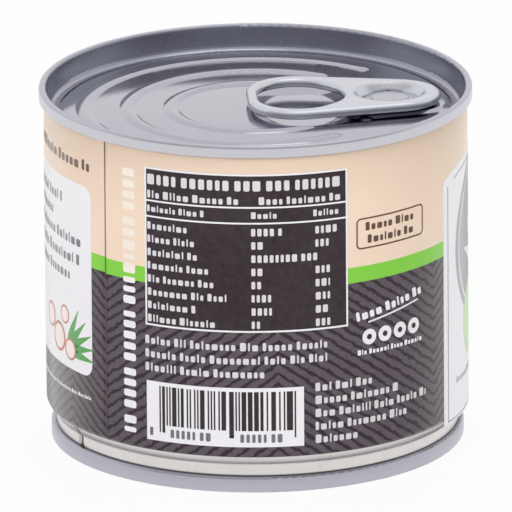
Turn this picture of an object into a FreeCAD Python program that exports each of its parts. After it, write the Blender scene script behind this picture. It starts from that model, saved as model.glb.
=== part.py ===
import FreeCAD, Part

import math
import os

# A small ring-pull food can, in millimetres: a welded steel body with a stepped-in foot, a
# full-opening lid with its ring pull, a plain bottom end and a wrap-round paper label.
# Z is up, the origin is the centre of the foot, and +X points to the nose of the ring pull.
# The can is shut, so the body and what it holds are one solid between the two ends. Beside the
# sunk lid the body's wall and the lid's are folded into one seam, and count as the lid's.

# ---------------------------------------------------------------- overall sizes
can_height = 63.1
body_diameter = 73.4
body_wall = 0.25               # folded steel where the neck meets the bottom end

# ---------------------------------------------------------------- seams and foot
top_seam_height = 2.1
top_seam_proud = 0.98          # how far the seam stands out past the body
top_seam_width = 1.23
bottom_seam_height = 2.85
bottom_seam_proud = 0.85       # how far it stands out past the neck
bottom_seam_width = 1.25
seam_rounding = 0.42
seam_lip_rounding = 0.16         # the top seam's lower edge is folded tighter
neck_inset = 1.55              # how much smaller in radius the foot is than the body
neck_straight = 1.9            # upright part of the neck above the seam
neck_slope_height = 2.3
neck_rounding = 1.4

# ---------------------------------------------------------------- lid
countersink_depth = 4.65       # from the rim down to the groove at the foot of the wall
chuck_wall_lean = 0.45         # how much the wall closes in towards its foot
wall_foot_rounding = 1.25
groove_rounding = 0.3
panel_edge_rounding = 0.6
countersink_width = 1.5
countersink_slope = 0.9
panel_lift = 0.45              # the panel above that groove
lid_thickness = 1.2            # from the panel down to the flat underside
bead_count = 3
first_bead_inset = 6.2         # from the foot of the wall to the outer bead's crest
bead_pitch = 7.55
bead_rise = 0.38
bead_half_width = 1.45
bead_openings = (47.0, 56.0, 56.0)   # degrees each side of the tab left without a bead
bead_rounding = 0.9

# ---------------------------------------------------------------- ring pull and its seat
tab_nose_gap = 3.7             # from the foot of the wall to the tab's nose
tab_nose_radius = 7.85
tab_length = 33.8
tab_ring_width = 22.4          # across the square-shouldered ring end
tab_ring_corner = 8.6
tab_thickness = 1.6
tab_edge_rounding = 0.7
finger_hole_length = 15.1
finger_hole_width = 17.2
finger_hole_corner = 6.8
finger_hole_end_radius = 7.8   # the side of the hole next to the rivet
finger_hole_border = 1.9       # from the ring's free end to the hole
web_length = 12.6              # the oval hollow that holds the rivet
web_width = 11.2
web_sheet = 0.5
web_corner = 0.4
tongue_slot_radius = 4.7
tongue_slot_width = 0.4
tongue_opening = 110.0         # degrees left uncut, towards the nose
rivet_shift = 1.05             # from the nose's centre towards the ring
rivet_post_radius = 2.0
rivet_head_radius = 3.3
rivet_head_thickness = 0.4
rivet_clearance = 0.05
seat_height = 0.45             # the raised seat above the panel
seat_nose_margin = 0.9         # how far the seat reaches past the tab's nose
seat_side_margin = 0.2
seat_slope = 0.8
seat_gap = 0.25                # air between the seat and the tab's curled edge
seat_wing_length = 18.8        # across the can, where the seat ends in two points
seat_wing_width = 4.4
seat_wing_slope = 2.6          # the points run out more gently than the sides
seat_wing_shift = 4.9          # from the rivet towards the ring
well_length = 17.6             # the finger well under the ring, along the tab
well_width = 24.4
well_depth = 0.65
well_slope = 2.0

# ---------------------------------------------------------------- bottom end
bottom_recess = 3.1            # from the foot up to the panel
bottom_wall_lean = 0.3
bottom_thickness = 1.1
bottom_bead_count = 2
bottom_bead_inset = 5.0
bottom_bead_pitch = 6.5
bottom_bead_depth = 0.45
bottom_bead_run = 1.3

# ---------------------------------------------------------------- label
label_paper = 0.12
label_top_gap = 0.15           # bare steel under the top seam
label_turn_in = 0.37           # how far the lower edge reaches down the neck's slope, as a share
lap_direction = -138.9         # degrees about Z of the edge where the label ends on itself
lap_ramp = 25.0                # degrees over which the upper layer lifts off the lower

# ---------------------------------------------------------------- worked out from those
body_radius = body_diameter / 2
neck_radius = body_radius - neck_inset
seam_underside = can_height - top_seam_height
top_seam_radius = body_radius + top_seam_proud
bottom_seam_radius = neck_radius + bottom_seam_proud
bottom_seam_inner = bottom_seam_radius - bottom_seam_width
neck_top = bottom_seam_height + neck_straight
shoulder = neck_top + neck_slope_height
rim_inner = top_seam_radius - top_seam_width
wall_foot = rim_inner - chuck_wall_lean
countersink = can_height - countersink_depth
panel = countersink + panel_lift
lid_underside = panel - lid_thickness
bottom_top = bottom_recess + bottom_thickness

nose_centre = wall_foot - tab_nose_gap - tab_nose_radius
tab_free_end = nose_centre + tab_nose_radius - tab_length
hole_start = tab_free_end + finger_hole_border
hole_centre = hole_start + finger_hole_length / 2
rivet_centre = nose_centre - rivet_shift
seat_top = panel + seat_height
tab_bottom = seat_top + seat_gap
tab_top = tab_bottom + tab_thickness
web_top = seat_top + web_sheet


def at(x, y, z):
    return FreeCAD.Vector(x, y, z)


def rounded_wire(corners):
    """A closed wire in the XZ plane. Each corner is (x, z) or (x, z, rounding radius)."""
    edges = []
    ends = []
    for i, corner in enumerate(corners):
        here = at(corner[0], 0, corner[1])
        before = at(corners[i - 1][0], 0, corners[i - 1][1])
        after_corner = corners[(i + 1) % len(corners)]
        after = at(after_corner[0], 0, after_corner[1])
        radius = corner[2] if len(corner) > 2 else 0.0
        if radius == 0.0:
            ends.append((here, here))
            continue
        back = (before - here).normalize()
        on = (after - here).normalize()
        half_angle = back.getAngle(on) / 2
        reach = radius / math.tan(half_angle)
        inward = (back + on).normalize()
        middle = here + inward * (radius / math.sin(half_angle) - radius)
        start, finish = here + back * reach, here + on * reach
        edges.append(Part.Arc(start, middle, finish).toShape())
        ends.append((start, finish))
    for i, (_, finish) in enumerate(ends):
        start = ends[(i + 1) % len(ends)][0]
        if finish.distanceToPoint(start) > 1e-7:
            edges.append(Part.LineSegment(finish, start).toShape())
    return Part.Wire(Part.__sortEdges__(edges))


def turned(corners, angle=360.0):
    """A solid of revolution about Z from an outline in the XZ plane."""
    face = Part.Face(rounded_wire(corners))
    return face.revolve(at(0, 0, 0), at(0, 0, 1), angle)


def hull_of_circles(x1, radius1, x2, radius2, z):
    """A closed wire round two circles on the X axis, x1 below x2, joined by their tangents."""
    lean = math.asin((radius1 - radius2) / (x2 - x1))
    edges = []
    points = {}
    for name, x, radius in (("low", x1, radius1), ("high", x2, radius2)):
        dx, dy = radius * math.sin(lean), radius * math.cos(lean)
        points[name] = (at(x + dx, dy, z), at(x + dx, -dy, z))
    edges.append(Part.Arc(points["low"][0], at(x1 - radius1, 0, z), points["low"][1]).toShape())
    edges.append(Part.LineSegment(points["low"][1], points["high"][1]).toShape())
    edges.append(Part.Arc(points["high"][1], at(x2 + radius2, 0, z), points["high"][0]).toShape())
    edges.append(Part.LineSegment(points["high"][0], points["low"][0]).toShape())
    return Part.Wire(edges)


def shouldered_wire(start, width, corner, end, end_radius, z):
    """A closed wire with a square-shouldered end at x start that tapers to a round end at x end."""
    shoulder_x, shoulder_y = start + corner, width / 2 - corner
    centre_x = end - end_radius
    length = math.hypot(centre_x - shoulder_x, shoulder_y)
    side = math.acos((corner - end_radius) / length) - math.atan2(shoulder_y, centre_x - shoulder_x)
    cos, sin = math.cos(side), math.sin(side)
    bisector = (math.pi + side) / 2
    middle = (shoulder_x + corner * math.cos(bisector), shoulder_y + corner * math.sin(bisector))
    near = (shoulder_x + corner * cos, shoulder_y + corner * sin)
    far = (centre_x + end_radius * cos, end_radius * sin)
    edges = [
        Part.LineSegment(at(start, -shoulder_y, z), at(start, shoulder_y, z)).toShape(),
        Part.Arc(at(start, shoulder_y, z), at(*middle, z), at(*near, z)).toShape(),
        Part.LineSegment(at(*near, z), at(*far, z)).toShape(),
        Part.Arc(at(*far, z), at(end, 0, z), at(far[0], -far[1], z)).toShape(),
        Part.LineSegment(at(far[0], -far[1], z), at(near[0], -near[1], z)).toShape(),
        Part.Arc(
            at(near[0], -near[1], z), at(middle[0], -middle[1], z), at(start, -shoulder_y, z)
        ).toShape(),
    ]
    return Part.Wire(edges)


def oval_wire(x, length, width, z):
    """An ellipse centred on the X axis, length along X and width along Y."""
    if length >= width:
        curve = Part.Ellipse(at(x + length / 2, 0, z), at(x, width / 2, z), at(x, 0, z))
    else:
        curve = Part.Ellipse(at(x, width / 2, z), at(x - length / 2, 0, z), at(x, 0, z))
    return Part.Wire(curve.toShape())


def lofted(lower, upper):
    """A solid between two wires of the same kind."""
    return Part.makeLoft([lower, upper], True, True)


def make_bead(crest, opening):
    """A raised ridge in the panel, most of a circle, with a round end each side of the tab."""
    foot = panel - lid_thickness / 2
    outer = at(crest + bead_half_width, 0, panel)
    inner = at(crest - bead_half_width, 0, panel)
    top = at(crest, 0, panel + bead_rise)
    low_inner = at(crest - bead_half_width, 0, foot)
    low_outer = at(crest + bead_half_width, 0, foot)
    section = Part.Face(
        Part.Wire(
            [
                Part.Arc(outer, top, inner).toShape(),
                Part.LineSegment(inner, low_inner).toShape(),
                Part.LineSegment(low_inner, low_outer).toShape(),
                Part.LineSegment(low_outer, outer).toShape(),
            ]
        )
    )
    section.rotate(at(0, 0, 0), at(0, 0, 1), opening)
    ridge = section.revolve(at(0, 0, 0), at(0, 0, 1), 360 - 2 * opening)
    for direction in (opening, -opening):
        end = at(
            crest * math.cos(math.radians(direction)), crest * math.sin(math.radians(direction)), 0
        )
        sphere_radius = (bead_half_width ** 2 + bead_rise ** 2) / (2 * bead_rise)
        dome = Part.makeSphere(sphere_radius, end + at(0, 0, panel + bead_rise - sphere_radius))
        post = Part.makeCylinder(bead_half_width, 2 * lid_thickness, end + at(0, 0, foot))
        ridge = ridge.fuse(dome.common(post))
    return ridge


def make_body():
    return turned(
        [
            (0.0, bottom_top),
            (neck_radius - body_wall, bottom_top),
            (neck_radius - body_wall, bottom_seam_height),
            (neck_radius, bottom_seam_height),
            (neck_radius, neck_top, neck_rounding),
            (body_radius, shoulder, neck_rounding),
            (body_radius, lid_underside),
            (0.0, lid_underside),
        ]
    )


def make_seat():
    """The raised seat that carries the ring pull: a drop shape with a point to each side."""
    start_radius = tab_nose_radius + seat_side_margin
    end_centre = nose_centre + tab_nose_radius / 3
    end_radius = tab_nose_radius * 2 / 3 + seat_nose_margin
    drop = lofted(
        hull_of_circles(
            rivet_centre - seat_wing_shift, start_radius + seat_slope,
            end_centre, end_radius + seat_slope, panel,
        ),
        hull_of_circles(
            rivet_centre - seat_wing_shift, start_radius, end_centre, end_radius, seat_top
        ),
    )
    wing = lofted(
        oval_wire(
            rivet_centre - seat_wing_shift, seat_wing_width + 2 * seat_slope,
            seat_wing_length + 2 * seat_slope, panel,
        ),
        oval_wire(
            rivet_centre - seat_wing_shift, seat_wing_width,
            seat_wing_length + 2 * seat_slope - 2 * seat_wing_slope, seat_top,
        ),
    )
    scoop = lofted(
        oval_wire(hole_centre, well_length, well_width, panel),
        oval_wire(
            hole_centre, well_length + 2 * seat_slope, well_width + 2 * seat_slope, seat_top
        ),
    )
    return drop.fuse(wing).cut(scoop)


def make_well():
    """The shallow dish that lets a fingertip under the ring."""
    floor = oval_wire(
        hole_centre, well_length - 2 * well_slope, well_width - 2 * well_slope,
        panel - well_depth,
    )
    slope = well_slope / well_depth
    mouth = oval_wire(
        hole_centre, well_length + 2 * slope * bead_rise, well_width + 2 * slope * bead_rise,
        panel + bead_rise,
    )
    return lofted(floor, mouth)


def make_rivet():
    """The rivet is drawn up out of the lid's own sheet, so it belongs to the lid."""
    head_bottom = web_top
    post = Part.makeCylinder(
        rivet_post_radius, head_bottom - lid_underside, at(rivet_centre, 0, lid_underside)
    )
    head = Part.makeCylinder(
        rivet_head_radius, rivet_head_thickness, at(rivet_centre, 0, head_bottom)
    )
    rim = [e for e in head.Edges if abs(e.BoundBox.ZMin - web_top - rivet_head_thickness) < 1e-6]
    head = head.makeFillet(rivet_head_thickness / 2, rim)
    return post.fuse(head)


def make_top_end():
    dish = turned(
        [
            (0.0, lid_underside),
            (body_radius, lid_underside),
            (body_radius, seam_underside),
            (top_seam_radius, seam_underside, seam_lip_rounding),
            (top_seam_radius, can_height, seam_rounding),
            (rim_inner, can_height, seam_rounding),
            (wall_foot, countersink, wall_foot_rounding),
            (wall_foot - countersink_width, countersink, groove_rounding),
            (wall_foot - countersink_width - countersink_slope, panel, panel_edge_rounding),
            (0.0, panel),
        ]
    )
    for i in range(bead_count):
        crest = wall_foot - first_bead_inset - i * bead_pitch
        dish = dish.fuse(make_bead(crest, bead_openings[i]))
    return dish.cut(make_well()).fuse(make_seat()).fuse(make_rivet()).removeSplitter()


def make_tongue_slot():
    """The curved slit round the rivet that lets the tab hinge, open towards the nose."""
    outer = Part.makeCylinder(
        tongue_slot_radius + tongue_slot_width / 2, tab_top - seat_top + 1,
        at(rivet_centre, 0, seat_top - 0.5),
    )
    inner = Part.makeCylinder(
        tongue_slot_radius - tongue_slot_width / 2, tab_top - seat_top + 1,
        at(rivet_centre, 0, seat_top - 0.5),
    )
    ring = outer.cut(inner)
    reach = 2 * tongue_slot_radius
    half = math.radians(tongue_opening / 2)
    z = seat_top - 1
    wedge = Part.Face(
        Part.makePolygon(
            [
                at(rivet_centre, 0, z),
                at(rivet_centre + reach * math.cos(half), -reach * math.sin(half), z),
                at(rivet_centre + 2 * reach, 0, z),
                at(rivet_centre + reach * math.cos(half), reach * math.sin(half), z),
                at(rivet_centre, 0, z),
            ]
        )
    ).extrude(at(0, 0, tab_top - seat_top + 2))
    return ring.cut(wedge)


def make_pull_tab():
    outline = shouldered_wire(
        tab_free_end, tab_ring_width, tab_ring_corner,
        nose_centre + tab_nose_radius, tab_nose_radius, tab_bottom,
    )
    plate = Part.Face(outline).extrude(at(0, 0, tab_thickness))
    hole = Part.Face(
        shouldered_wire(
            hole_start, finger_hole_width, finger_hole_corner,
            hole_start + finger_hole_length, finger_hole_end_radius, tab_bottom,
        )
    ).extrude(at(0, 0, tab_thickness))
    plate = plate.cut(hole)
    rims = [
        e for e in plate.Edges
        if abs(e.BoundBox.ZMax - e.BoundBox.ZMin) < 1e-6
    ]
    plate = plate.makeFillet(tab_edge_rounding, rims)
    pad = Part.Face(
        oval_wire(rivet_centre, web_length - 2 * web_corner, web_width - 2 * web_corner, seat_top)
    ).extrude(at(0, 0, tab_bottom - seat_top + tab_thickness / 2))
    hollow = lofted(
        oval_wire(rivet_centre, web_length - 4 * web_corner, web_width - 4 * web_corner, web_top),
        oval_wire(rivet_centre, web_length, web_width, tab_top),
    )
    rivet_hole = Part.makeCylinder(
        rivet_post_radius + rivet_clearance, tab_thickness + seat_gap,
        at(rivet_centre, 0, seat_top),
    )
    return plate.fuse(pad).cut(hollow).cut(rivet_hole).cut(make_tongue_slot())


def make_bottom_end():
    wall_top = bottom_seam_inner - bottom_wall_lean
    corners = [
        (0.0, bottom_top),
        (0.0, bottom_recess),
    ]
    for i in reversed(range(bottom_bead_count)):
        crest = wall_top - bottom_bead_inset - i * bottom_bead_pitch
        corners.append((crest - bottom_bead_run, bottom_recess, bead_rounding))
        corners.append((crest, bottom_recess - bottom_bead_depth, bead_rounding))
        corners.append((crest + bottom_bead_run, bottom_recess, bead_rounding))
    corners += [
        (wall_top, bottom_recess, seam_rounding),
        (bottom_seam_inner, 0.0, seam_rounding),
        (bottom_seam_radius, 0.0, seam_rounding),
        (bottom_seam_radius, bottom_seam_height, seam_rounding),
        (neck_radius - body_wall, bottom_seam_height),
        (neck_radius - body_wall, bottom_top),
    ]
    return turned(corners)


def make_label():
    """Paper round the body, its lower edge turned in over the neck, its end lapped on its start."""
    slope = at(neck_inset, 0, neck_slope_height).normalize()
    outward = at(slope.z, 0, -slope.x)
    shoulder_corner = at(body_radius, 0, shoulder)
    foot = shoulder_corner - slope * (label_turn_in * math.hypot(neck_inset, neck_slope_height))
    outer_foot = foot + outward * label_paper
    bend = math.atan2(neck_inset, neck_slope_height)
    outer_corner_z = shoulder - label_paper * math.tan(bend / 2)
    top = seam_underside - label_top_gap
    sleeve = turned(
        [
            (foot.x, foot.z),
            (outer_foot.x, outer_foot.z),
            (body_radius + label_paper, outer_corner_z, neck_rounding + label_paper),
            (body_radius + label_paper, top),
            (body_radius, top),
            (body_radius, shoulder, neck_rounding),
        ]
    )
    paper_radius = body_radius + label_paper
    lift_direction = math.radians(lap_direction + 90 - lap_ramp)
    lift = label_paper / math.sin(math.radians(lap_ramp))
    low = shoulder + neck_rounding * math.tan(bend / 2)
    upper_layer = Part.makeCylinder(
        paper_radius, top - low,
        at(lift * math.cos(lift_direction), lift * math.sin(lift_direction), low),
    )
    sector = Part.makeCylinder(body_diameter, top - low, at(0, 0, low), at(0, 0, 1), lap_ramp)
    sector.rotate(at(0, 0, 0), at(0, 0, 1), lap_direction - lap_ramp)
    core = Part.makeCylinder(paper_radius, top - low, at(0, 0, low))
    flap = upper_layer.common(sector).cut(core)
    return sleeve.fuse(flap)


def save(shape, name):
    """Writes one closed solid as parts/NAME.step."""
    solids = shape.Solids
    if len(solids) != 1 or not solids[0].isValid():
        raise RuntimeError(f"{name} has {len(solids)} solids, or one that isn't valid")
    solids[0].exportStep(os.path.join("parts", name + ".step"))
    box = solids[0].BoundBox
    size = [round(v, 2) for v in (box.XLength, box.YLength, box.ZLength)]
    print(name, "volume", round(solids[0].Volume, 1), "size", size)


def main():
    os.makedirs("parts", exist_ok=True)
    save(make_body(), "can_body")
    save(make_top_end(), "top_end")
    save(make_pull_tab(), "pull_tab")
    save(make_bottom_end(), "bottom_end")
    save(make_label(), "label")


main()
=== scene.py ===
import bpy
import bmesh
import math
import random
from mathutils import Matrix, Vector


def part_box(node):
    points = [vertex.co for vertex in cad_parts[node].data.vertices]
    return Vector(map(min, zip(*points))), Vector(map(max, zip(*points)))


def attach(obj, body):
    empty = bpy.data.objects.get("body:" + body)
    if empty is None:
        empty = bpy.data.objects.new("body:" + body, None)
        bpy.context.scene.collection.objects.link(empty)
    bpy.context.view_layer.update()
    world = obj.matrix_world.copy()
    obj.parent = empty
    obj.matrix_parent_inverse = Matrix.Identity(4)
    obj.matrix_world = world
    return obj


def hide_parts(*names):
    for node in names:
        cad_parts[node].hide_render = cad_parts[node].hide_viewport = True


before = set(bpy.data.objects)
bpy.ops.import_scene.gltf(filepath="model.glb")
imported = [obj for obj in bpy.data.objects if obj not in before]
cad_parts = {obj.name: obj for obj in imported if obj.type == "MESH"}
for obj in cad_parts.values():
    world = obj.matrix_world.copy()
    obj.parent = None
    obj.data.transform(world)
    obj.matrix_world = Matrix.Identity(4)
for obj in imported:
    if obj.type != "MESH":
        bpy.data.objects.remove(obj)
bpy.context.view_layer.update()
mm = 0.001

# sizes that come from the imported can
labelLow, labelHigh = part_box("label")
bodyLow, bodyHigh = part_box("can_body")
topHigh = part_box("top_end")[1]
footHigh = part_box("bottom_end")[1]
bodyRadius = bodyHigh.x
canHeight = topHigh.z
footTop = bodyLow.z                   # top of the bottom seam
neckRadius = footHigh.x - 0.85 * mm   # the bottom seam stands out past the neck
wallFoot = topHigh.x - 1.68 * mm      # inside the lid's standing wall


class Sock:
    # wraps a socket, so that shader maths reads as sums

    def __init__(self, tree, out):
        self.tree = tree
        self.out = out

    def maths(self, operation, other=None, clamp=False):
        inputs = {0: self}
        if other is not None:
            inputs[1] = other
        settings = {"operation": operation, "use_clamp": clamp}
        return self.tree.add("ShaderNodeMath", settings, inputs).value()

    def __add__(self, other):
        return self.maths("ADD", other)

    def __sub__(self, other):
        return self.maths("SUBTRACT", other)

    def __mul__(self, other):
        return self.maths("MULTIPLY", other)

    def __neg__(self):
        return self.maths("MULTIPLY", -1.0)

    def __radd__(self, other):
        return self.maths("ADD", other)

    def __rmul__(self, other):
        return self.maths("MULTIPLY", other)

    def __rsub__(self, other):
        return (self * -1.0) + other

    def __gt__(self, other):
        return self.maths("GREATER_THAN", other)

    def __lt__(self, other):
        return self.maths("LESS_THAN", other)

    def abs(self):
        return self.maths("ABSOLUTE")

    def clamped(self):
        return self.maths("ADD", 0.0, clamp=True)

    def pingPong(self, scale):
        return self.maths("PINGPONG", scale)

    def fract(self):
        return self.maths("FRACT")

    def smooth(self, low, high):
        # 0 below low, 1 above high, with a soft ramp between
        made = self.tree.add(
            "ShaderNodeMapRange", {"interpolation_type": "SMOOTHSTEP"},
            {"Value": self, "From Min": low, "From Max": high, "To Min": 0.0, "To Max": 1.0},
        )
        return made.get("Result")


class Made:
    # a node just added, with a short way to its outputs

    def __init__(self, tree, node):
        self.tree = tree
        self.node = node

    def get(self, name):
        return Sock(self.tree, self.node.outputs[name])

    def value(self):
        return Sock(self.tree, self.node.outputs[0])


class Tree:

    def __init__(self, owner):
        owner.use_nodes = True
        self.nodes = owner.node_tree.nodes
        self.links = owner.node_tree.links
        self.nodes.clear()

    def add(self, kind, settings=None, inputs=None):
        node = self.nodes.new(kind)
        for name, value in (settings or {}).items():
            setattr(node, name, value)
        for name, value in (inputs or {}).items():
            if isinstance(value, Sock):
                self.links.new(value.out, node.inputs[name])
            else:
                node.inputs[name].default_value = value
        return Made(self, node)

    def mix(self, factor, a, b):
        # a and b are colours or colour sockets
        made = self.add(
            "ShaderNodeMix", {"data_type": "RGBA", "clamp_factor": True},
            {0: factor, 6: colourInput(a), 7: colourInput(b)},
        )
        return Sock(self, made.node.outputs[2])

    def noise(self, vector, scale, detail=3.0, roughness=0.55, stretch=None):
        if stretch:
            inputs = {"Vector": vector, "Scale": stretch}
            vector = self.add("ShaderNodeMapping", {}, inputs).value()
        return self.add(
            "ShaderNodeTexNoise", {},
            {"Vector": vector, "Scale": scale, "Detail": detail, "Roughness": roughness},
        ).value()

    def softEdges(self, radius):
        # a rounded normal for creases, the radius in millimetres
        return self.add("ShaderNodeBevel", {"samples": 6}, {"Radius": radius * mm}).value()

    def seenDirectly(self):
        # 1 for what the camera, gloss or glass looks at
        path = self.add("ShaderNodeLightPath")
        rays = path.get("Is Camera Ray") + path.get("Is Glossy Ray")
        return (rays + path.get("Is Transmission Ray")).clamped()

    def bump(self, height, strength, distance, onto=None):
        inputs = {"Height": height, "Strength": strength, "Distance": distance}
        if onto:
            inputs["Normal"] = onto
        return self.add("ShaderNodeBump", {}, inputs).value()

    def finish(self, inputs):
        shader = self.add("ShaderNodeBsdfPrincipled", {}, inputs)
        self.add("ShaderNodeOutputMaterial", {}, {"Surface": shader.value()})


def colourInput(colour):
    return colour if isinstance(colour, Sock) else (*colour, 1.0)


def srgb(red, green, blue):
    # screen values 0 to 255 to the linear ones that a shader wants
    out = []
    for value in (red, green, blue):
        c = value / 255
        out.append(c / 12.92 if c <= 0.04045 else ((c + 0.055) / 1.055) ** 2.4)
    return tuple(out)


def objectCoords(tree):
    return tree.add("ShaderNodeTexCoord").get("Object")


def newMaterial(name):
    material = bpy.data.materials.new(name)
    return material, Tree(material)


def axes(tree, coords):
    split = tree.add("ShaderNodeSeparateXYZ", {}, {"Vector": coords})
    return split.get("X"), split.get("Y"), split.get("Z")


def radiusAndHeight(tree, coords):
    # measured from the can's axis and from its foot
    x, y, z = axes(tree, coords)
    return ((x * x) + (y * y)).maths("SQRT"), z


def spots(tree, coords, scale, threshold):
    # sparse small specks, 1 inside a speck
    dots = tree.add(
        "ShaderNodeTexVoronoi", {"feature": "F1"}, {"Vector": coords, "Scale": scale}
    ).get("Distance")
    return dots < threshold


lidLook = {
    "sheet": srgb(177, 176, 186),
    # painted light: the seam is given a lighter copy of the sheet's colour
    "seam": srgb(208, 207, 214),
    # painted shade: the standing wall is given a darker, bluer copy of the sheet, a painted
    # reflection of the room's dark side
    "wall": srgb(146, 148, 161),
    "dust": srgb(232, 232, 236),
    "roughness": 0.12,
    "seamRoughness": 0.30,
    "softening": 0.45,           # pressed creases are round, in millimetres
    "swell": 2.0,                # the sheet is very slightly domed
    "wallStart": (35.5, 35.9),   # radii between which the standing wall fades in
    "wallEnd": (36.5, 36.8),
    "seamStart": (36.6, 37.0),
    "rimFade": (0.5, 0.15),      # depths under the rim's top where the seam's painted lighter tone fades back to the sheet's, as painted shade on the rim's top
}


def makeLidMetal():
    look = lidLook
    material, tree = newMaterial("lidTinplate")
    coords = objectCoords(tree)
    radius, z = radiusAndHeight(tree, coords)
    haze = tree.noise(coords, 160.0, 4.0, 0.6)
    dust = spots(tree, coords, 900.0, 0.07)
    roll = tree.noise(coords, 900.0, 2.0, 0.5, stretch=(1.0, 0.04, 1.0))
    wallStart, wallEnd, seamStart = (
        radius.smooth(look[name][0] * mm, look[name][1] * mm)
        for name in ("wallStart", "wallEnd", "seamStart")
    )
    # inWall carries painted shade into the colour; its extra roughness is real
    inWall = wallStart * (1.0 - wallEnd)
    rough = look["roughness"] + (haze - 0.5) * 0.10 + inWall * 0.10
    rough = rough + seamStart * (look["seamRoughness"] - look["roughness"])
    under, over = look["rimFade"]
    # painted light on the seam, held back on the rim's top as painted shade
    rimTop = z.smooth(canHeight - under * mm, canHeight - over * mm)
    litSeam = seamStart * (0.9 - rimTop * 0.7)
    base = tree.mix((haze - 0.3) * 0.2 + litSeam, look["sheet"], look["seam"])
    base = tree.mix(inWall * 0.9, base, look["wall"])
    base = tree.mix(dust * 0.6, base, look["dust"])
    swell = (radius * (1 / wallFoot)).clamped()
    softened = tree.softEdges(look["softening"])
    domed = tree.bump(swell * swell * -1.0, 1.0, look["swell"] * mm, softened)
    tree.finish({
        "Base Color": base,
        "Metallic": 1.0,
        "Roughness": (rough + dust * 0.25).clamped(),
        "Normal": tree.bump(roll * 0.5 + haze * 0.6, 0.05, 0.02 * mm, domed),
    })
    return material


footLook = {
    "sheet": srgb(185, 184, 195),
    "rubbed": srgb(205, 204, 211),
    "shade": srgb(150, 148, 160),    # painted shade on the seam's upper half
    "corner": srgb(48, 46, 50),      # painted shade in the crevice where the seam meets the neck
    "roughness": 0.30,
}


def makeFootMetal():
    look = footLook
    material, tree = newMaterial("footTinplate")
    coords = objectCoords(tree)
    haze = tree.noise(coords, 140.0, 4.0, 0.6)
    drawn = tree.noise(coords, 700.0, 2.0, 0.5, stretch=(0.6, 0.6, 5.0))
    rubbed = tree.noise(coords, 45.0, 3.0, 0.7).smooth(0.58, 0.75)
    radius, z = radiusAndHeight(tree, coords)
    # painted shade, darker towards the seam's top
    shade = z.smooth(footTop * 0.35, footTop * 0.75)
    # painted shade in the crevice between the seam's top and the neck
    corner = 1.0 - radius.smooth(neckRadius + 0.02 * mm, neckRadius + 0.12 * mm)
    corner = corner * z.smooth(footTop - 0.6 * mm, footTop - 0.2 * mm)
    base = tree.mix(rubbed * 0.35, look["sheet"], look["rubbed"])
    base = tree.mix(shade * 0.2, base, look["shade"])
    base = tree.mix(corner, base, look["corner"])
    tree.finish({
        "Base Color": base,
        "Metallic": 1.0,
        "Roughness": (look["roughness"] + (haze - 0.5) * 0.16 + rubbed * 0.06).clamped(),
        "Normal": tree.bump(drawn * 0.6 + haze * 0.4, 0.06, 0.02 * mm),
    })
    return material


neckLook = {
    "sheet": srgb(224, 220, 217),
    "haze": srgb(206, 203, 204),
    "stain": srgb(186, 180, 172),
    "scorch": srgb(160, 138, 124),
    "weld": srgb(66, 56, 54),
    # painted shade for the crevice above the foot, also the solder's dark at the weld
    "groove": srgb(72, 70, 74),
    "roughness": 0.24,
    "weldAngle": -63.8,              # degrees round from the front
    "weldPlace": 0.1,                # the line's middle, in millimetres past that angle
    "scorchPlace": -0.7,
    "blotHeight": 0.45,              # soldered spot at the foot of the weld
    "grooveWidth": 0.32,             # the painted shade line where neck and foot meet
}


def makeNeckMetal():
    # the bare neck between label and foot, with the welded side seam
    look = neckLook
    material, tree = newMaterial("bodyTinplate")
    coords = objectCoords(tree)
    x, y, z = axes(tree, coords)
    angle = y.maths("ARCTAN2", x)
    across = (angle - math.radians(look["weldAngle"] - 90)) * bodyRadius
    offWeld = (across - look["weldPlace"] * mm).abs()
    offScorch = (across - look["scorchPlace"] * mm).abs()
    weld = 1.0 - offWeld.smooth(0.22 * mm, 0.42 * mm)
    blot = 1.0 - offWeld.smooth(0.3 * mm, 0.9 * mm)
    scorch = 1.0 - offScorch.smooth(0.35 * mm, 0.95 * mm)
    # painted shade along the crevice above the foot, rising over the real soldered spot at the
    # weld
    groove = 1.0 - (z - blot * look["blotHeight"] * mm).smooth(
        footTop + 0.02 * mm, footTop + look["grooveWidth"] * mm)
    stain = tree.noise(coords, 380.0, 4.0, 0.7, stretch=(1.0, 1.0, 0.35)).smooth(0.56, 0.72)
    brushed = tree.noise(coords, 500.0, 3.0, 0.6, stretch=(0.5, 0.5, 6.0))
    haze = tree.noise(coords, 120.0, 4.0, 0.6)
    base = tree.mix(haze * 0.6, look["sheet"], look["haze"])
    base = tree.mix(stain * 0.25, base, look["stain"])
    base = tree.mix(scorch * 0.55, base, look["scorch"])
    base = tree.mix(weld * 0.85, base, look["weld"])
    base = tree.mix(groove, base, look["groove"])
    rough = look["roughness"] + (haze - 0.5) * 0.14
    tree.finish({
        "Base Color": base,
        "Metallic": 1.0 - groove * 0.8,
        "Roughness": (rough + weld * 0.25 + groove * 0.3).clamped(),
        "Normal": tree.bump(brushed * 0.6 + weld * 2.0, 0.08, 0.03 * mm),
    })
    return material


tabLook = {
    "sheet": srgb(207, 209, 216),
    "brushed": srgb(196, 197, 203),
    "worn": srgb(150, 150, 158),
    "roughness": 0.22,
    "softening": 0.8,                # the edges are rolled
}


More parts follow.
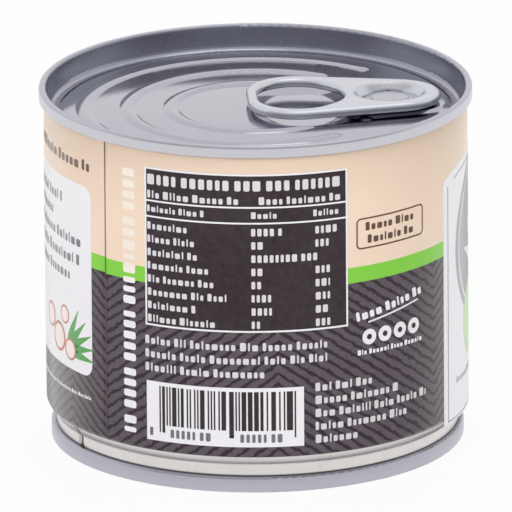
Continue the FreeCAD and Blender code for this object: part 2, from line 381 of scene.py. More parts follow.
def makeTabMetal():
    look = tabLook
    material, tree = newMaterial("tabMetal")
    coords = objectCoords(tree)
    rolled = tree.softEdges(look["softening"])
    brushed = tree.noise(coords, 420.0, 3.0, 0.6, stretch=(0.25, 4.0, 1.0))
    haze = tree.noise(coords, 260.0, 3.0, 0.6)
    worn = tree.noise(coords, 700.0, 2.0, 0.7).smooth(0.62, 0.74)
    base = tree.mix(brushed * 0.5, look["sheet"], look["brushed"])
    base = tree.mix(worn * 0.25, base, look["worn"])
    tree.finish({
        "Base Color": base,
        "Metallic": 1.0,
        "Roughness": (look["roughness"] + (haze - 0.5) * 0.16 + worn * 0.12).clamped(),
        "Normal": tree.bump(brushed * 0.7 + haze * 0.5, 0.10, 0.02 * mm, rolled),
    })
    return material


def dressNode(name, material):
    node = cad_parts[name]
    node.data.materials.clear()
    node.data.materials.append(material)


dressNode("top_end", makeLidMetal())
dressNode("bottom_end", makeFootMetal())
dressNode("can_body", makeNeckMetal())
dressNode("pull_tab", makeTabMetal())
print("metals on the CAD nodes")


# lengths in millimetres, round the can from the front (-Y) towards +X, and up from the base
label = {
    "paper": 0.12,
    "footRise": 0.55,            # the trimmed edge stands this far above the solid's
    "turnInDepth": 0.26,         # how far the lower edge bends in over the neck
    "turnInHeight": 0.4,
    "turnInRounding": 1.1,
    "lapAngle": -48.9,           # degrees round from the front
    "lapRamp": 25.0,             # the paper climbs over its own end across this many degrees
    "lapFoot": 7.5,              # below this it is pressed flat again
    "lapEase": 0.8,
    "lapShadow": 0.75,
    "steps": 256,
    "stripeFoot": 36.9,
    "stripeTop": 39.7,
    "skew": 0.25,                # the print drifts up by this much once round
    "chevronHalf": 32.5,         # valley to peak at the front
    "chevronFarHalf": 31.28,     # and past the second valley, round to the lap
    "chevronValley": -31.2,
    "strokeSlope": 0.70,
    "strokePitch": 1.95,
    "strokeShare": 0.36,
    "cream": srgb(236, 211, 188),
    "paleCream": srgb(240, 218, 198),
    "green": srgb(130, 204, 66),
    "deepGreen": srgb(120, 192, 62),
    "strokeLight": srgb(95, 86, 94),
    "strokeDark": srgb(46, 32, 40),
    "shadow": srgb(58, 44, 46),
    "gloss": 0.3,
    "coatRoughness": 0.25,
    "skimRise": (0.3, 0.62),     # how far the surface turns away before its coat shines
    "skimFall": (0.74, 0.87),
    "skimLoss": 0.8,
}
paperRadius = bodyRadius + label["paper"] * mm
lapStart = math.radians(label["lapAngle"])


def paperLift(angle, height):
    # extra radius where the paper's end lies over its start; angle is from the front
    ramp = math.radians(label["lapRamp"])
    turned = (lapStart - angle) % math.tau
    if turned >= ramp or height < label["lapFoot"] * mm:
        return 0.0
    rise = math.sin(ramp - turned) / math.sin(ramp)
    ease = min(1.0, (height - label["lapFoot"] * mm) / (label["lapEase"] * mm))
    return label["paper"] * mm * rise * ease


def sleeveProfile():
    # outer side of the paper from the turned-in edge up, as (radius, height)
    radius = paperRadius
    foot = labelLow.z + label["footRise"] * mm
    corner = foot + label["turnInHeight"] * mm
    bend = math.atan2(label["turnInDepth"], label["turnInHeight"])
    rounding = label["turnInRounding"] * mm
    reach = rounding * math.tan(bend / 2)
    points = [(radius - label["turnInDepth"] * mm, foot)]
    for step in range(6):
        turn = bend * (1 - step / 5)
        points.append((
            radius - rounding * (1 - math.cos(turn)),
            corner + reach - rounding * math.sin(turn),
        ))
    points.append((radius, label["lapFoot"] * mm))
    points.append((radius, (label["lapFoot"] + label["lapEase"]) * mm))
    return points + [(radius, labelHigh.z * share) for share in (0.4, 0.7, 1.0)]


def frontAngle(place):
    # angle of a point round the can, from the front towards +X
    return math.atan2(place.x, -place.y)


def wrapped(angle):
    return (angle + math.pi) % math.tau - math.pi


def mapSleeve(bm):
    # Strip follows the print, and OFBake lays it in two rows on the square, each half way round
    strip = bm.loops.layers.uv.new("Strip")
    bake = bm.loops.layers.uv.new("OFBake")
    half = math.pi * paperRadius
    for face in bm.faces:
        middle = face.calc_center_median()
        middleAngle = frontAngle(middle)
        around = (middleAngle - lapStart) % math.tau
        side = Vector((middle.x, middle.y, 0)).normalized()
        printed = face.normal.dot(side) > 0.3
        lapped = abs(face.normal.dot(side)) < 0.3 and abs(face.normal.z) < 0.3
        face.material_index = 0 if printed else 2 if lapped else 1
        row = 0 if around * paperRadius < half else 1
        for loop in face.loops:
            place = loop.vert.co
            turn = around + wrapped(frontAngle(place) - middleAngle)
            along = turn * paperRadius
            loop[strip].uv = (lapStart * paperRadius + along, place.z)
            share = (place.z - labelLow.z) / (labelHigh.z - labelLow.z)
            if printed:
                x = (along - row * half) / half
                y = 0.01 + row * 0.475 + 0.455 * share
            else:
                x = turn / math.tau
                reach = math.hypot(place.x, place.y) / paperRadius
                y = 0.965 + 0.01 * share + 0.4 * (1 - reach)
            loop[bake].uv = (0.01 + 0.98 * x, y)


def newPiece(name, bm, materials):
    mesh = bpy.data.meshes.new(name)
    bm.to_mesh(mesh)
    bm.free()
    for material in materials:
        mesh.materials.append(material)
    piece = bpy.data.objects.new(name, mesh)
    bpy.context.scene.collection.objects.link(piece)
    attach(piece, "root")
    return piece


def makeSleeve():
    bm = bmesh.new()
    wall = label["paper"] * mm
    outer = sleeveProfile()
    inner = [(radius - wall, height) for radius, height in outer]
    ring = outer + [(paperRadius, labelHigh.z)] + inner[::-1]
    out = Vector((math.sin(lapStart), -math.cos(lapStart), 0))
    verts = [bm.verts.new(out * radius + Vector((0, 0, height))) for radius, height in ring]
    edges = [bm.edges.new((a, b)) for a, b in zip(verts, verts[1:] + verts[:1])]
    bmesh.ops.spin(
        bm, geom=verts + edges, cent=(0, 0, 0), axis=(0, 0, 1), dvec=(0, 0, 0),
        angle=math.tau, steps=label["steps"], use_merge=False, use_duplicate=False,
    )
    bm.verts.ensure_lookup_table()
    for number, vert in enumerate(bm.verts):
        column, place = divmod(number, len(ring))
        if place < len(outer) and column > 0:
            side = Vector((vert.co.x, vert.co.y, 0)).normalized()
            lift = paperLift(lapStart - math.tau * (1 - column / label["steps"]), vert.co.z)
            vert.co += side * lift
    bmesh.ops.remove_doubles(bm, verts=bm.verts[:], dist=0.0005 * mm)
    step = [edge for edge in bm.edges if edge.is_boundary]
    bmesh.ops.holes_fill(bm, edges=step, sides=0)
    bmesh.ops.recalc_face_normals(bm, faces=bm.faces[:])
    mapSleeve(bm)
    for face in bm.faces:
        face.smooth = True
    return bm


def skimGloss(tree):
    # the coating shines where it is seen at a shallow angle
    facing = tree.add("ShaderNodeLayerWeight", {}, {"Blend": 0.5}).get("Facing")
    falling = facing.smooth(*label["skimFall"]) * label["skimLoss"]
    return facing.smooth(*label["skimRise"]) * (1.0 - falling)


def makeLabelPaper():
    # coated paper: cream field, green stripe and a brushed chevron below
    material, tree = newMaterial("printedPaper")
    strip = tree.add("ShaderNodeUVMap", {"uv_map": "Strip"}).value()
    coords = objectCoords(tree)
    split = tree.add("ShaderNodeSeparateXYZ", {}, {"Vector": strip})
    along = split.get("X") * (1 / mm)
    girth = math.tau * paperRadius / mm
    pastLap = along - girth * label["lapAngle"] / 360
    height = split.get("Y") * (1 / mm) - pastLap * (label["skew"] / girth)
    slow = tree.noise(coords, 60.0, 3.0, 0.5)
    fine = tree.noise(coords, 1400.0, 3.0, 0.65)
    fibre = tree.noise(coords, 3200.0, 2.0, 0.5)
    secondValley = label["chevronValley"] + 2 * label["chevronHalf"]
    stretch = label["chevronHalf"] / label["chevronFarHalf"] - 1
    far = (along - secondValley).maths("MAXIMUM", 0.0)
    climb = (along - label["chevronValley"] + far * stretch).pingPong(label["chevronHalf"])
    ragged = (tree.noise(coords, 950.0, 2.0, 0.5) - 0.5) * 0.95
    ragged = ragged + (tree.noise(coords, 380.0, 2.0, 0.5) - 0.5) * 0.9
    stroke = height - climb * label["strokeSlope"] + ragged
    phase = (stroke * (1 / label["strokePitch"])).fract()
    uneven = (tree.noise(coords, 700.0, 2.0, 0.5) - 0.5) * 0.22
    edge = 0.5 * label["strokeShare"]
    dark = 1.0 - ((phase - 0.5).abs() + uneven).smooth(edge - 0.05, edge + 0.05)
    streaks = (fine - 0.35).smooth(0.0, 0.45)
    inked = tree.mix(dark, label["strokeLight"], label["strokeDark"])
    inked = tree.mix((1.0 - streaks) * 0.30, inked, label["strokeDark"])
    onStripe = height > label["stripeFoot"]
    onCream = height > label["stripeTop"]
    green = tree.mix((fine - 0.5) * 0.25 + 0.12, label["green"], label["deepGreen"])
    cream = tree.mix(slow * 0.5 + (fibre - 0.5) * 0.2, label["cream"], label["paleCream"])
    base = tree.mix(onStripe, inked, green)
    base = tree.mix(onCream, base, cream)
    shadow = 1.0 - pastLap.abs().smooth(0.10, 0.24)
    base = tree.mix(shadow * label["lapShadow"], base, label["shadow"])
    tree.finish({
        "Base Color": base,
        "Roughness": (0.34 + (slow - 0.5) * 0.12 + (fibre - 0.5) * 0.10).clamped(),
        "Specular IOR Level": label["gloss"],
        "Coat Weight": skimGloss(tree),
        "Coat Roughness": label["coatRoughness"],
        "Normal": tree.bump(fibre * 0.3 + slow * 3.0, 0.12, 0.05 * mm),
    })
    return material


# painted shade: both cut edges of the paper get darker tones than the paper has, the lap's end
# the darkest; the fibre and worn marks are real
cutPaper = {
    "foot": (srgb(148, 141, 138), srgb(172, 166, 163)),
    "lap": (srgb(96, 86, 88), srgb(132, 122, 122)),
    "worn": srgb(150, 138, 130),
}


def makePaperEdge(name, dark, light):
    material, tree = newMaterial(name)
    coords = objectCoords(tree)
    fibre = tree.noise(coords, 2600.0, 4.0, 0.7)
    worn = tree.noise(coords, 300.0, 3.0, 0.6).smooth(0.55, 0.7)
    base = tree.mix(fibre, dark, light)
    base = tree.mix(worn * 0.4, base, cutPaper["worn"])
    tree.finish({
        "Base Color": base,
        "Roughness": 0.7 + (fibre - 0.5) * 0.2,
        "Normal": tree.bump(fibre, 0.3, 0.02 * mm),
    })
    return material


printedPaper = makeLabelPaper()
shadedPaperEdge = makePaperEdge("shadedPaperEdge", *cutPaper["foot"])
shadedLapEdge = makePaperEdge("shadedLapEdge", *cutPaper["lap"])
sleeve = newPiece("labelSleeve", makeSleeve(), [printedPaper, shadedPaperEdge, shadedLapEdge])
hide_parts("label")
print("paper label with its lap")


# Print is laid out flat as thin shapes, x round the can and y up, and then wrapped on.
# Wording is left off: its place holds rows of plain blocks.

inks = {
    "panel": srgb(41, 27, 34),
    "white": srgb(233, 231, 235),
    "words": srgb(213, 209, 213),
    "warmWhite": srgb(240, 228, 217),
    "brown": srgb(92, 64, 50),
    "grey": srgb(112, 108, 114),
    "paleGrey": srgb(150, 145, 152),
    "slate": srgb(108, 110, 132),
    "mint": srgb(192, 221, 172),
    "leaf": srgb(70, 150, 62),
    "husk": srgb(176, 112, 84),
    "blossom": srgb(243, 224, 218),
    "letterWidths": (0.40, 0.48, 0.52, 0.54, 0.68),   # as shares of the row's height
    "lowLetter": 0.72,
    "letterGap": 0.26,
    "wordGap": 0.28,
    "roughness": 0.38,
    "splitOver": 1.6,            # wider faces are cut across, to bend round the can
    "splitWidth": 0.9,
    "sunk": 0.02,                # millimetres into the paper
    "low": 0.03,                 # heights off the paper of prints that lie on one another
    "mid": 0.05,
    "rind": 0.06,
    "high": 0.07,
}


def makeInk(name, colour, lighter, above=None):
    # above is a second colour, for what stands on the cream
    material, tree = newMaterial(name)
    coords = objectCoords(tree)
    mottle = tree.noise(coords, 900.0, 3.0, 0.6)
    slow = tree.noise(coords, 80.0, 2.0, 0.5)
    specks = spots(tree, coords, 1500.0, 0.10)
    paler = tuple(channel + (1 - channel) * lighter for channel in colour)
    base = tree.mix((mottle - 0.3) * 0.8 + (slow - 0.5) * 0.4, colour, paler)
    if above:
        x, y, z = axes(tree, coords)
        base = tree.mix(z > label["stripeFoot"] * mm, base, above)
    tree.finish({
        "Base Color": base,
        "Roughness": (inks["roughness"] + (mottle - 0.5) * 0.12 + specks * 0.06).clamped(),
        "Specular IOR Level": label["gloss"],
        "Coat Weight": skimGloss(tree),
        "Coat Roughness": label["coatRoughness"],
        "Normal": tree.bump(mottle, 0.06, 0.02 * mm),
    })
    return material


def extents(face):
    across = [vert.co.x for vert in face.verts]
    up = [vert.co.y for vert in face.verts]
    return max(across) - min(across), max(up) - min(up)


class Sheet:
    # a flat layer of printed shapes in one ink, in millimetres

    def __init__(self):
        self.bm = bmesh.new()

    def slab(self, left, right, foot, top, corner=0.0, place=None):
        made = bmesh.ops.create_grid(self.bm, x_segments=1, y_segments=1, size=0.5)["verts"]
        bmesh.ops.scale(self.bm, vec=(right - left, top - foot, 1), verts=made)
        bmesh.ops.translate(self.bm, vec=((left + right) / 2, (foot + top) / 2, 0), verts=made)
        if place:
            bmesh.ops.transform(self.bm, matrix=place, verts=made)
        if corner:
            bmesh.ops.bevel(
                self.bm, geom=made, offset=corner, segments=2 if corner < 0.4 else 8,
                profile=0.5, affect="VERTICES", material=-1,
            )

    def disc(self, x, y, radius):
        made = bmesh.ops.create_circle(
            self.bm, cap_ends=True, segments=40, radius=radius
        )["verts"]
        bmesh.ops.translate(self.bm, vec=(x, y, 0), verts=made)

    def leaf(self, x, y, length, width, turn):
        made = bmesh.ops.create_circle(self.bm, cap_ends=True, segments=20, radius=0.5)["verts"]
        for vert in made:
            share = vert.co.x + 0.5
            vert.co.y *= 1 - 0.55 * share
            vert.co = Vector((share * length, vert.co.y * width * (1 - abs(share - 0.4)), 0))
        bmesh.ops.rotate(self.bm, matrix=Matrix.Rotation(turn, 3, "Z"), verts=made)
        bmesh.ops.translate(self.bm, vec=(x, y, 0), verts=made)

    def inset(self, faces, line):
        # a border of that width round the faces
        bmesh.ops.inset_region(
            self.bm, faces=faces, thickness=line, use_even_offset=True, use_boundary=True
        )

    def drop(self, faces):
        bmesh.ops.delete(self.bm, geom=faces, context="FACES")

    def outline(self, left, right, foot, top, line, corner=0.0):
        before = set(self.bm.faces)
        self.slab(left, right, foot, top, corner)
        middle = [face for face in self.bm.faces if face not in before]
        self.inset(middle, line)
        self.drop(middle)

    def row(self, left, right, foot, cap, seed, capitals=False, place=None, weight=1.0):
        # plain blocks in the rhythm of a line of words
        rng = random.Random(seed)
        x = left
        while x < right - cap * 0.3:
            for number in range(rng.randint(3, 8)):
                stem = not capitals and number > 0 and rng.random() < 0.24
                tall = capitals or number == 0 or stem
                share = 0.2 if stem else rng.choice(inks["letterWidths"])
                width = min(cap * share * weight, right - x)
                if width < cap * 0.16:
                    break
                height = cap if tall else cap * inks["lowLetter"]
                corner = min(0.14 * cap, 0.45 * width)
                self.slab(x, x + width, foot, foot + height, corner, place)
                x += width + cap * inks["letterGap"]
            x += cap * inks["wordGap"]

    def split(self, width):
        # cuts across, every so many millimetres
        bm = self.bm
        low = min(vert.co.x for vert in bm.verts)
        high = max(vert.co.x for vert in bm.verts)
        steps = math.ceil((high - low) / width)
        for step in range(1, steps):
            bmesh.ops.bisect_plane(
                bm, geom=bm.verts[:] + bm.edges[:] + bm.faces[:], dist=0.00001,
                plane_co=(low + (high - low) * step / steps, 0, 0), plane_no=(1, 0, 0),
            )

    def wrapOn(self, name, material, lift):
        bm = self.bm
        low = min(vert.co.x for vert in bm.verts)
        high = max(vert.co.x for vert in bm.verts)
        foot = min(vert.co.y for vert in bm.verts)
        top = max(vert.co.y for vert in bm.verts)
        size = max(high - low, top - foot)
        if max(extents(face)[0] for face in bm.faces) > inks["splitOver"]:
            self.split(inks["splitWidth"])
        bmesh.ops.solidify(bm, geom=bm.faces[:], thickness=lift + inks["sunk"])
        bake = bm.loops.layers.uv.new("OFBake")
        for face in bm.faces:
            for loop in face.loops:
                x, y = loop.vert.co.x - low, loop.vert.co.y - foot
                loop[bake].uv = (0.02 + 0.96 * x / size, 0.02 + 0.96 * y / size)
        for vert in bm.verts:
            angle = vert.co.x * mm / paperRadius
            height = vert.co.y * mm
            radius = paperRadius + paperLift(angle, height) + (lift + vert.co.z) * mm
            vert.co = Vector((radius * math.sin(angle), -radius * math.cos(angle), height))
        bmesh.ops.recalc_face_normals(bm, faces=bm.faces[:])
        return newPiece(name, bm, [material])


panelInk = makeInk("panelInk", inks["panel"], 0.05)
whiteInk = makeInk("whiteInk", inks["white"], 0.3)
wordInk = makeInk("wordInk", inks["words"], 0.2)
slateInk = makeInk("slateInk", inks["slate"], 0.1)
brownInk = makeInk("brownInk", inks["brown"], 0.08)
greyInk = makeInk("greyInk", inks["grey"], 0.08)
paleGreyInk = makeInk("paleGreyInk", inks["paleGrey"], 0.10)
columnInk = makeInk("columnInk", inks["white"], 0.3, above=inks["warmWhite"])
mintInk = makeInk("mintInk", inks["mint"], 0.12)
leafInk = makeInk("leafInk", inks["leaf"], 0.15)
huskInk = makeInk("huskInk", inks["husk"], 0.15)
blossomInk = makeInk("blossomInk", inks["blossom"], 0.3)

facts = {
    "left": -22.6, "right": 13.85, "foot": 29.35, "top": 57.9, "border": 0.33,
    "rules": (51.75, 48.9), "ruleLine": 0.3,
    "margins": (0.55, 1.05),
    "title": 54.85, "titleCap": 1.85, "titleWeight": 1.08,
    "notes": 52.4, "notesCap": 1.4, "notesBreak": (-5.5, -1.96),
    "heads": 49.9, "headsCap": 1.2, "headPlaces": ((-22.1, 10.7), (-3.3, 4.9), (7.55, 5.05)),
    "firstRow": 46.75, "rowPitch": 2.386, "rowCap": 1.35,
    "columns": (-22.1, -3.3, 7.9),
    "rowWidths": (               # one row each: the widths of its name and two figures
        (8.6, 5.3, 4.3), (8.9, 2.4, 2.4), (9.4, 11.6, 0), (11.4, 1.9, 2.6),
        (12.6, 1.9, 2.6), (14.6, 3.6, 2.6), (9.0, 3.5, 2.4), (12.4, 1.9, 2.6),
    ),
}


def makeFacts():
    left, right, foot, top = (facts[name] for name in ("left", "right", "foot", "top"))
    border = facts["border"]
    ground = Sheet()
    ground.slab(left, right, foot, top)
    ground.wrapOn("factsGround", panelInk, inks["low"])
    lines = Sheet()
    lines.outline(left, right, foot, top, border)
    for height in facts["rules"]:
        lines.slab(left + border, right - border, height, height + facts["ruleLine"])
    lines.wrapOn("factsLines", whiteInk, inks["mid"])
    words = Sheet()
    start, end = left + facts["margins"][0], right - facts["margins"][1]
    words.row(
        start, end, facts["title"], facts["titleCap"], 1,
        capitals=True, weight=facts["titleWeight"],
    )
    notesEnd, notesStart = facts["notesBreak"]
    words.row(start, notesEnd, facts["notes"], facts["notesCap"], 2)
    words.row(notesStart, end, facts["notes"], facts["notesCap"], 3)
    for number, (x, width) in enumerate(facts["headPlaces"]):
        words.row(x, x + width, facts["heads"], facts["headsCap"], 10 + number)
    for number, widths in enumerate(facts["rowWidths"]):
        y = facts["firstRow"] - number * facts["rowPitch"]
        for column, (x, width) in enumerate(zip(facts["columns"], widths)):
            if width:
                seed = 20 + number * 3 + column
                words.row(x, x + width, y, facts["rowCap"], seed, capitals=column > 0)
    words.wrapOn("factsRows", wordInk, inks["mid"])


makeFacts()

lower = {
    "lines": ((27.5, 10.0), (25.05, 10.0), (22.6, -1.0)), "linesLeft": -22.7, "linesCap": 1.5,
    "plate": (-22.5, 5.7, 8.6, 19.3),
    "barsLeft": -20.0, "barsRight": 4.8, "bars": (11.55, 18.6), "guardFoot": 10.2,
    "module": 0.27, "seed": 7,
    "underRows": ((-21.9, -20.8), (-17.9, -10.5), (-5.4, 2.3)),
    "underFoot": 9.4, "underCap": 1.55, "underWeight": 0.8,
    "address": 19.75, "addressPitch": 2.35, "addressLeft": 7.75, "addressCap": 1.5,
    "addressWidths": (11.0, 17.0, 23.5, 19.0, 8.5),
    "addressWeights": (1.12, 1.12, 1.0, 1.0, 1.0),
}


def makeLower():
    words = Sheet()
    cap = lower["linesCap"]
    for number, (top, right) in enumerate(lower["lines"]):
        words.row(lower["linesLeft"], right, top - cap, cap, 60 + number)
    left, cap = lower["addressLeft"], lower["addressCap"]
    for number, width in enumerate(lower["addressWidths"]):
        foot = lower["address"] - number * lower["addressPitch"] - cap
        weight = lower["addressWeights"][number]
        words.row(left, left + width, foot, cap, 70 + number, weight=weight)
    words.wrapOn("lowerRows", wordInk, inks["low"])
    plate = Sheet()
    plate.slab(*lower["plate"])
    plate.wrapOn("barPlate", whiteInk, inks["low"])
    # bars of random widths
    bars = Sheet()
    rng = random.Random(lower["seed"])
    left, right, module = lower["barsLeft"], lower["barsRight"], lower["module"]
    foot, top = lower["bars"]
    x = left
    while x < right - module:
        width = module * rng.choice((1, 1, 1, 2, 3, 4))
        share = (x - left) / (right - left)
        guard = share < 0.03 or share > 0.96 or 0.48 < share < 0.52
        bars.slab(x, x + width, lower["guardFoot"] if guard else foot, top)
        x += width + module * rng.choice((1, 1, 2, 2))
    bars.wrapOn("plateBars", panelInk, inks["mid"])
    under = Sheet()
    foot, cap, weight = lower["underFoot"], lower["underCap"], lower["underWeight"]
    for left, right in lower["underRows"]:
        under.row(left, right, foot, cap, 77, capitals=True, weight=weight)
    under.wrapOn("plateRow", greyInk, inks["mid"])


makeLower()

side = {
    "box": (15.55, 30.65, 42.8, 48.4), "boxLine": 0.28, "boxCorner": 0.9,
    "boxRows": ((17.4, 29.0, 46.05), (17.8, 28.4, 43.75)), "boxCap": 1.5,
    "slantStart": (15.6, 29.8), "slant": 9.5, "slantLength": 15.4, "slantCap": 1.7,
    "underStart": (17.9, 29.3), "underLength": 11.5, "underLine": 0.3,
    "discs": (18.05, 21.34, 24.7, 28.05), "discHeight": 26.8, "discRadius": 1.4, "dotShare": 0.36,
    "small": (15.7, 30.8, 23.7), "smallCap": 0.95,
}


def makeSide():
    boxed = Sheet()
    boxed.outline(*side["box"], side["boxLine"], side["boxCorner"])
    for number, (left, right, foot) in enumerate(side["boxRows"]):
        boxed.row(left, right, foot, side["boxCap"], 80 + number)
    boxed.wrapOn("boxedRows", brownInk, inks["low"])
    marks = Sheet()
    turn = Matrix.Rotation(math.radians(side["slant"]), 4, "Z")
    place = Matrix.Translation((*side["slantStart"], 0)) @ turn
    marks.row(0, side["slantLength"], 0, side["slantCap"], 90, place=place)
    place = Matrix.Translation((*side["underStart"], 0)) @ turn
    marks.slab(0, side["underLength"], 0, side["underLine"], place=place)
    for x in side["discs"]:
        marks.disc(x, side["discHeight"], side["discRadius"])
    marks.row(*side["small"], side["smallCap"], 91)
    marks.wrapOn("sideMarks", whiteInk, inks["low"])
    dots = Sheet()
    for x in side["discs"]:
        dots.disc(x, side["discHeight"], side["discRadius"] * side["dotShare"])
    dots.wrapOn("sideDots", panelInk, inks["mid"])


makeSide()

column = {"left": -27.3, "cap": 2.6, "top": 57.0, "foot": 9.3}


def makeColumn():
    # one row that runs down the side of the facts
    words = Sheet()
    downwards = Matrix.Rotation(-math.pi / 2, 4, "Z")
    place = Matrix.Translation((column["left"], column["top"], 0)) @ downwards
    length = column["top"] - column["foot"]
    words.row(0, length, 0, column["cap"], 100, capitals=True, place=place)
    words.wrapOn("columnRow", columnInk, inks["low"])


makeColumn()

story = {
    "panel": (-92.0, -35.0, 17.1, 51.4), "corner": 2.2,
    "rows": ((46.6, -44.8), (43.3, -48.9), (40.0, -38.1), (36.6, -38.6), (33.3, -41.9)),
    "rowsLeft": -80.0, "cap": 1.9, "upperRow": (-84.0, -35.4, 54.3), "upperCap": 1.95,
    "footRow": (-78.0, -35.5, 12.9), "footCap": 0.7,
}


def makeStory():
    panel = Sheet()
    panel.slab(*story["panel"], story["corner"])
    panel.wrapOn("storyPanel", whiteInk, inks["low"])
    words = Sheet()
    for number, (foot, right) in enumerate(story["rows"]):
        words.row(story["rowsLeft"], right, foot, story["cap"], 110 + number)
    words.wrapOn("storyRows", greyInk, inks["mid"])
    upper = Sheet()
    upper.row(*story["upperRow"], story["upperCap"], 120)
    upper.wrapOn("upperRow", brownInk, inks["low"])
    low = Sheet()
    low.row(*story["footRow"], story["footCap"], 121)
    low.wrapOn("footRow", whiteInk, inks["low"])


makeStory()

sprig = {
    "berries": ((-46.5, 21.8, 2.7), (-41.9, 20.6, 2.0), (-50.8, 24.6, 2.3), (-44.0, 26.4, 1.7)),
    "rim": 0.204, "leafStart": (-43.2, 20.5), "leafLength": 9.0, "leafWidth": 2.2,
    "leafTurns": (62, 44, 27, 11, -4),
}


def makeSprig():
    # leaf blades fanned behind a few round fruits: a plain ornament
    blades = Sheet()
    length, width = sprig["leafLength"], sprig["leafWidth"]
    for turn in sprig["leafTurns"]:
        blades.leaf(*sprig["leafStart"], length, width, math.radians(turn))
    blades.wrapOn("sprigLeaves", leafInk, inks["mid"])
    rinds = Sheet()
    middles = Sheet()
    for x, y, radius in sprig["berries"]:
        rinds.disc(x, y, radius)
        middles.disc(x, y, radius * (1 - sprig["rim"]))
    rinds.wrapOn("sprigRinds", huskInk, inks["rind"])
    middles.wrapOn("sprigMiddles", blossomInk, inks["high"])


makeSprig()

plaque = {
    "left": 37.2, "right": 108.0, "foot": 5.9, "shoulder": 50.3, "rise": 2.2, "bend": 5.5,
    "inset": 1.6, "line": 0.22,
    "medallion": (57.3, 36.3, 15.0), "ring": 13.6, "ringLine": 0.5,
    "blades": (-68, -34, 0, 34, 68), "bladeDrop": 4.8, "bladeLength": 10.8, "bladeWidth": 3.3,
    "disc": (54.2, 22.0, 7.2), "row": (42.6, 68.0, 12.3), "rowCap": 1.2,
}


def archedPlate(sheet, inset):
    # an upright plate whose top edge swells in a shallow arch
    left, right = plaque["left"] + inset, plaque["right"] - inset
    sheet.slab(left, right, plaque["foot"] + inset * 0.2, plaque["shoulder"] - inset * 0.75)
    sheet.split(inks["splitWidth"])
    for vert in sheet.bm.verts:
        if vert.co.y > plaque["shoulder"] * 0.5:
            reach = min(vert.co.x - left, right - vert.co.x) / plaque["bend"]
            vert.co.y += plaque["rise"] * (1 - math.exp(-reach))


def makePlaque():
    plate = Sheet()
    archedPlate(plate, 0.0)
    plate.wrapOn("plaquePlate", whiteInk, inks["low"])
    border = Sheet()
    archedPlate(border, plaque["inset"])
    border.inset(border.bm.faces[:], plaque["line"])
    border.drop([face for face in border.bm.faces if min(extents(face)) > 2 * plaque["line"]])
    border.wrapOn("plaqueLine", slateInk, inks["mid"])
    x, y, radius = plaque["medallion"]
    badge = Sheet()
    badge.disc(x, y, radius)
    badge.row(*plaque["row"], plaque["rowCap"], 130)
    badge.wrapOn("plaqueBadge", paleGreyInk, inks["mid"])
    ring = Sheet()
    ring.disc(x, y, plaque["ring"])
    middle = ring.bm.faces[:]
    ring.inset(middle, plaque["ringLine"])
    ring.drop(middle)
    foot = y - plaque["bladeDrop"]
    for turn in plaque["blades"]:
        ring.leaf(x, foot, plaque["bladeLength"], plaque["bladeWidth"], math.radians(90 + turn))
    ring.wrapOn("badgeRing", whiteInk, inks["high"])
    spot = Sheet()
    spot.disc(*plaque["disc"])
    spot.wrapOn("plaqueDisc", mintInk, inks["high"])


makePlaque()
print("printed shapes on the label")


studio = {
    "floorSize": 4.0,
    "floorColour": (0.86, 0.86, 0.86),
    "floorGrain": (0.8, 0.8, 0.8),
    "floorGlow": 0.94,           # share of the floor that shows as plain white
    "darkSide": (0.45, 0.45, 0.45),
    "darkFront": (-0.05, 0.45),  # how far to the front and how low down it lies
    "darkTop": (0.45, 0.85),
    "softLight": 0.45,           # how strongly the room lights plain surfaces
}

lamps = {                        # place in metres, size, watts, and whether it only mirrors
    "keyLight": ((-0.5, -0.55, 0.3), 0.5, 2.9, False),
    "fillLight": ((0.6, -0.5, 0.3), 0.5, 2.3, False),
    "backLight": ((0.1, 0.7, 0.35), 0.5, 2.4, False),
    "topLight": ((0.1, 0.12, 0.8), 0.4, 0.35, True),
}


def makeFloor():
    bm = bmesh.new()
    bmesh.ops.create_grid(bm, x_segments=1, y_segments=1, size=studio["floorSize"] / 2)
    mesh = bpy.data.meshes.new("studioFloor")
    bm.to_mesh(mesh)
    bm.free()
    floor = bpy.data.objects.new("studioFloor", mesh)
    bpy.context.scene.collection.objects.link(floor)
    material, tree = newMaterial("floorPaper")
    grain = tree.noise(objectCoords(tree), 300.0, 3.0, 0.5)
    paper = tree.add("ShaderNodeBsdfPrincipled", {}, {
        "Base Color": tree.mix(grain * 0.1, studio["floorColour"], studio["floorGrain"]),
        "Roughness": 0.9,
    }).value()
    white = tree.add("ShaderNodeEmission", {}, {"Color": (1, 1, 1, 1), "Strength": 1.0}).value()
    glow = tree.seenDirectly() * studio["floorGlow"]
    shown = tree.add("ShaderNodeMixShader", {}, {0: glow, 1: paper, 2: white})
    tree.add("ShaderNodeOutputMaterial", {}, {"Surface": shown.value()})
    mesh.materials.append(material)


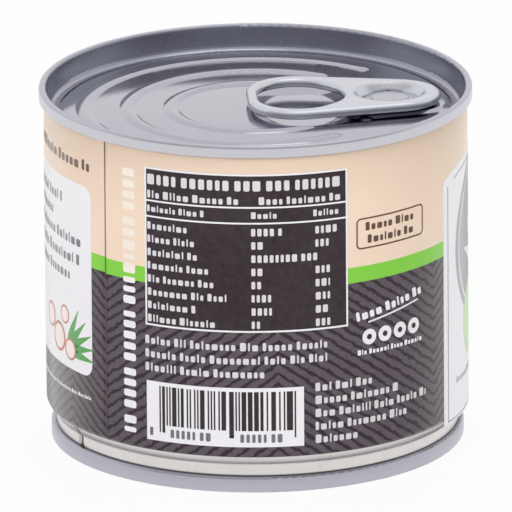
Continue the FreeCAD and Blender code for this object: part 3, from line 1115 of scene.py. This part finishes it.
def makeWorld():
    # white room, darker low down on the camera's side
    world = bpy.data.worlds.new("studioRoom")
    bpy.context.scene.world = world
    tree = Tree(world)
    direction = tree.add("ShaderNodeTexCoord").get("Generated")
    split = tree.add("ShaderNodeSeparateXYZ", {}, {"Vector": direction})
    inFront = (-split.get("Y")).smooth(*studio["darkFront"])
    lowDown = 1.0 - split.get("Z").smooth(*studio["darkTop"])
    shade = tree.mix(inFront * lowDown, (1.0, 1.0, 1.0), studio["darkSide"])
    room = tree.add("ShaderNodeBackground", {}, {"Color": shade, "Strength": 1.0}).value()
    softWhite = {"Color": (1, 1, 1, 1), "Strength": studio["softLight"]}
    soft = tree.add("ShaderNodeBackground", {}, softWhite).value()
    shown = tree.add("ShaderNodeMixShader", {}, {0: tree.seenDirectly(), 1: soft, 2: room})
    tree.add("ShaderNodeOutputWorld", {}, {"Surface": shown.value()})


def addArea(name, place, size, watts, mirrored):
    # a lamp either shows in metal and gloss or lights what is dull
    lamp = bpy.data.lights.new(name, "AREA")
    lamp.shape = "DISK"
    lamp.size = size
    lamp.energy = watts
    holder = bpy.data.objects.new(name, lamp)
    holder.visible_glossy = mirrored
    holder.visible_diffuse = not mirrored
    bpy.context.scene.collection.objects.link(holder)
    holder.location = place
    aim = Vector((0, 0, canHeight / 2)) - Vector(place)
    holder.rotation_euler = aim.to_track_quat("-Z", "Y").to_euler()


lens = {
    "azimuth": -3.7, "elevation": 17.2, "roll": -0.4, "length": 1400.0,
    "sensor": 36.0, "frameWidth": 89.21, "targetHeight": 31.82, "shiftLeft": 0.1,
}


def makeCamera():
    data = bpy.data.cameras.new("studioCamera")
    data.lens = lens["length"]
    data.sensor_width = lens["sensor"]
    camera = bpy.data.objects.new("studioCamera", data)
    bpy.context.scene.collection.objects.link(camera)
    distance = lens["frameWidth"] * mm * lens["length"] / lens["sensor"]
    around, rise = math.radians(lens["azimuth"]), math.radians(lens["elevation"])
    level = Vector((math.sin(around), -math.cos(around), 0)) * math.cos(rise)
    back = level + Vector((0, 0, math.sin(rise)))
    aim = (-back).to_track_quat("-Z", "Y")
    right = aim @ Vector((1, 0, 0))
    target = Vector((0, 0, lens["targetHeight"] * mm)) - right * lens["shiftLeft"] * mm
    roll = Matrix.Rotation(math.radians(lens["roll"]), 4, "Z")
    stand = Matrix.Translation(target + back * distance)
    camera.matrix_world = stand @ aim.to_matrix().to_4x4() @ roll
    data.clip_start = 0.05
    data.clip_end = 20.0
    bpy.context.scene.camera = camera


makeFloor()
makeWorld()
for name, (place, size, watts, mirrored) in lamps.items():
    addArea(name, place, size, watts, mirrored)
makeCamera()
bpy.context.scene.view_settings.view_transform = "Standard"
print("floor, light and camera")
